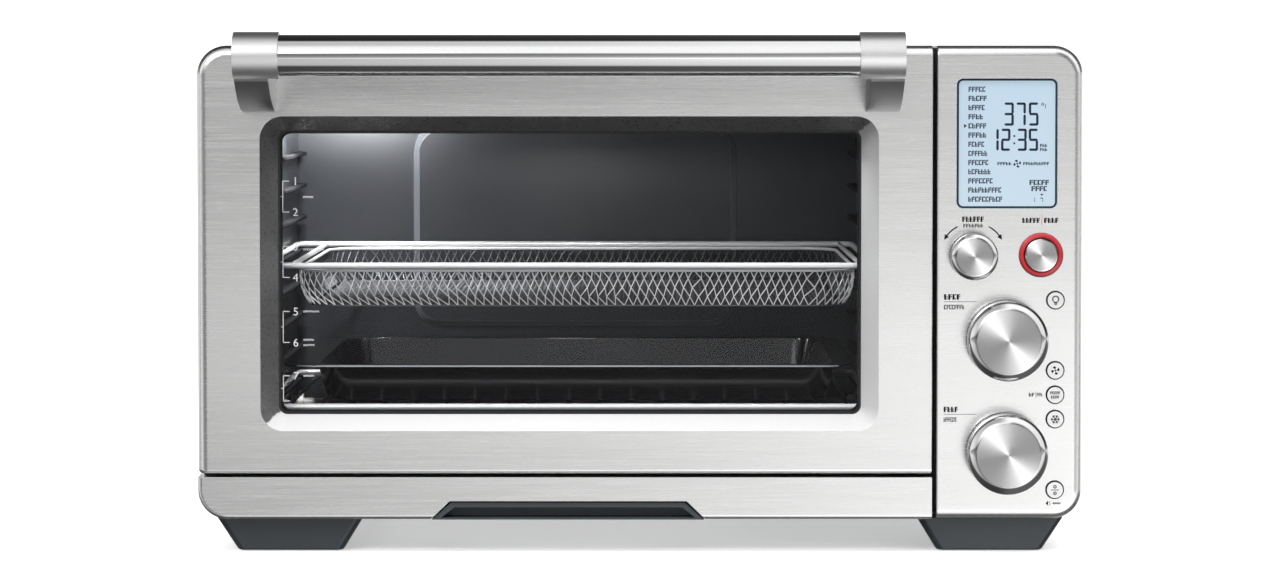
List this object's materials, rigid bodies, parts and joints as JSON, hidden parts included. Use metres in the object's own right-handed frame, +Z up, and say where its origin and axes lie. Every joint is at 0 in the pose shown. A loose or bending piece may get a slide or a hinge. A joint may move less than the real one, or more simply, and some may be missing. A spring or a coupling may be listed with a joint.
{
  "type": "toaster oven",
  "caption": "Countertop toaster oven with a drop-down glass door, tube handle, display, turning knobs, push buttons, air-fry basket, wire rack, roasting pan and crumb tray.",
  "frame": {"origin": "on the counter, under the middle of the oven's overall box", "axes": "+X to the right of a person facing the door, +Y to the rear, +Z up; the door faces -Y"},
  "size_m": [0.546, 0.434, 0.3214],
  "materials": {
    "brushed_stainless": "satin, brushed sideways",
    "polished_stainless": "polished",
    "galvanised_steel": "matt",
    "black_enamel": "gloss enamel",
    "cavity_coating": "satin non-stick coating",
    "clear_glass": "clear",
    "quartz_glass": "frosted",
    "ceramic": "glazed",
    "seal_rubber": "matt",
    "slate_plastic": "fine grain",
    "chromed_wire": "bright",
    "tray_aluminium": "satin",
    "display_panel": "backlit",
    "red_ring": "translucent",
    "circuit_board": "matt",
    "key_plastic": "satin paint"
  },
  "bodies": {
    "cabinet": {"outer_wrap": "brushed_stainless", "base_pan": "galvanised_steel", "rear_panel": "galvanised_steel", "front_frame": "black_enamel", "control_fascia": "brushed_stainless", "lower_trim": "brushed_stainless", "front_feet": "slate_plastic", "rear_feet": "slate_plastic", "cavity_left_wall": "cavity_coating", "cavity_right_wall": "cavity_coating", "cavity_roof": "cavity_coating", "cavity_rear_wall": "cavity_coating", "cavity_floor": "cavity_coating", "rack_guides": "cavity_coating", "upper_heater_tubes": "quartz_glass", "lower_heater_tubes": "quartz_glass", "heater_end_caps": "ceramic", "lamp_lens": "clear_glass", "lamp_bulb": "quartz_glass", "temperature_probe": "galvanised_steel", "fan_housing": "galvanised_steel", "fan_motor": "galvanised_steel", "partition_wall": "galvanised_steel", "control_board": "circuit_board", "rotary_encoders": "galvanised_steel", "lcd_module": "display_panel", "lcd_window": "clear_glass", "power_board": "circuit_board", "hinge_brackets": "galvanised_steel", "light_ring": "red_ring", "cord_gland": "seal_rubber", "rear_spacers": "slate_plastic", "cabinet_screws": "galvanised_steel"},
    "door": {"door_outer_panel": "brushed_stainless", "door_inner_frame": "black_enamel", "door_glass": "clear_glass", "glass_gasket": "seal_rubber", "handle_bar": "polished_stainless", "handle_bracket_left": "polished_stainless", "handle_bracket_right": "polished_stainless", "handle_screws": "galvanised_steel", "hinge_plates": "galvanised_steel", "door_springs": "galvanised_steel"},
    "basket": {"basket_frame": "chromed_wire", "basket_mesh": "chromed_wire"},
    "rack": {"wire_rack": "chromed_wire", "roasting_pan": "black_enamel"},
    "crumb_drawer": {"crumb_tray": "tray_aluminium", "crumb_tray_grip": "slate_plastic"},
    "fan": {"convection_fan": "tray_aluminium"},
    "temp_dial": {"temp_knob": "polished_stainless"},
    "time_dial": {"time_knob": "polished_stainless"},
    "select_stem": {"select_shaft": "galvanised_steel"},
    "select_dial": {"select_knob": "polished_stainless"},
    "start_key": {"start_stop_button": "brushed_stainless"},
    "light_key": {"light_button": "key_plastic"},
    "fan_key": {"fan_button": "key_plastic"},
    "phase_key": {"phase_button": "key_plastic"},
    "frozen_key": {"frozen_button": "key_plastic"},
    "unit_key": {"unit_button": "key_plastic"}
  },
  "joints": [
    {"name": "door_hinge", "type": "hinge", "parent": "cabinet", "child": "door", "pos_m": [0, -0.149, 0.057], "axis": [1, 0, 0], "range_deg": [0, 85], "stiffness_Nm_per_rad": 0.9, "springref_deg": -57.3},
    {"name": "basket_slide", "type": "slide", "parent": "cabinet", "child": "basket", "axis": [0, -1, 0], "range_m": [0, 0.15]},
    {"name": "rack_slide", "type": "slide", "parent": "cabinet", "child": "rack", "axis": [0, -1, 0], "range_m": [0, 0.06]},
    {"name": "crumb_tray_slide", "type": "slide", "parent": "cabinet", "child": "crumb_drawer", "axis": [0, -1, 0], "range_m": [0, 0.23]},
    {"name": "fan_spin", "type": "hinge", "parent": "cabinet", "child": "fan", "pos_m": [0.165, 0.03, 0.17], "axis": [1, 0, 0], "continuous": true},
    {"name": "temp_turn", "type": "hinge", "parent": "cabinet", "child": "temp_dial", "pos_m": [0.2253, -0.165, 0.1325], "axis": [0, -1, 0], "continuous": true},
    {"name": "time_turn", "type": "hinge", "parent": "cabinet", "child": "time_dial", "pos_m": [0.2253, -0.165, 0.063], "axis": [0, -1, 0], "continuous": true},
    {"name": "select_push", "type": "slide", "parent": "cabinet", "child": "select_stem", "axis": [0, 1, 0], "range_m": [0, 0.001], "stiffness_N_per_m": 400, "springref_m": -0.001},
    {"name": "select_turn", "type": "hinge", "parent": "select_stem", "child": "select_dial", "pos_m": [0.2049, -0.16, 0.1841], "axis": [0, -1, 0], "continuous": true},
    {"name": "start_push", "type": "slide", "parent": "cabinet", "child": "start_key", "axis": [0, 1, 0], "range_m": [0, 0.001], "stiffness_N_per_m": 400, "springref_m": -0.001},
    {"name": "light_push", "type": "slide", "parent": "cabinet", "child": "light_key", "axis": [0, 1, 0], "range_m": [0, 0.001], "stiffness_N_per_m": 400, "springref_m": -0.001},
    {"name": "fan_push", "type": "slide", "parent": "cabinet", "child": "fan_key", "axis": [0, 1, 0], "range_m": [0, 0.001], "stiffness_N_per_m": 400, "springref_m": -0.001},
    {"name": "phase_push", "type": "slide", "parent": "cabinet", "child": "phase_key", "axis": [0, 1, 0], "range_m": [0, 0.001], "stiffness_N_per_m": 400, "springref_m": -0.001},
    {"name": "frozen_push", "type": "slide", "parent": "cabinet", "child": "frozen_key", "axis": [0, 1, 0], "range_m": [0, 0.001], "stiffness_N_per_m": 400, "springref_m": -0.001},
    {"name": "unit_push", "type": "slide", "parent": "cabinet", "child": "unit_key", "axis": [0, 1, 0], "range_m": [0, 0.001], "stiffness_N_per_m": 400, "springref_m": -0.001}
  ],
  "couplings": [
    {"joint": "basket_slide", "follows": "door_hinge", "m_per_rad": 0.1},
    {"joint": "rack_slide", "follows": "door_hinge", "m_per_rad": 0.04}
  ]
}
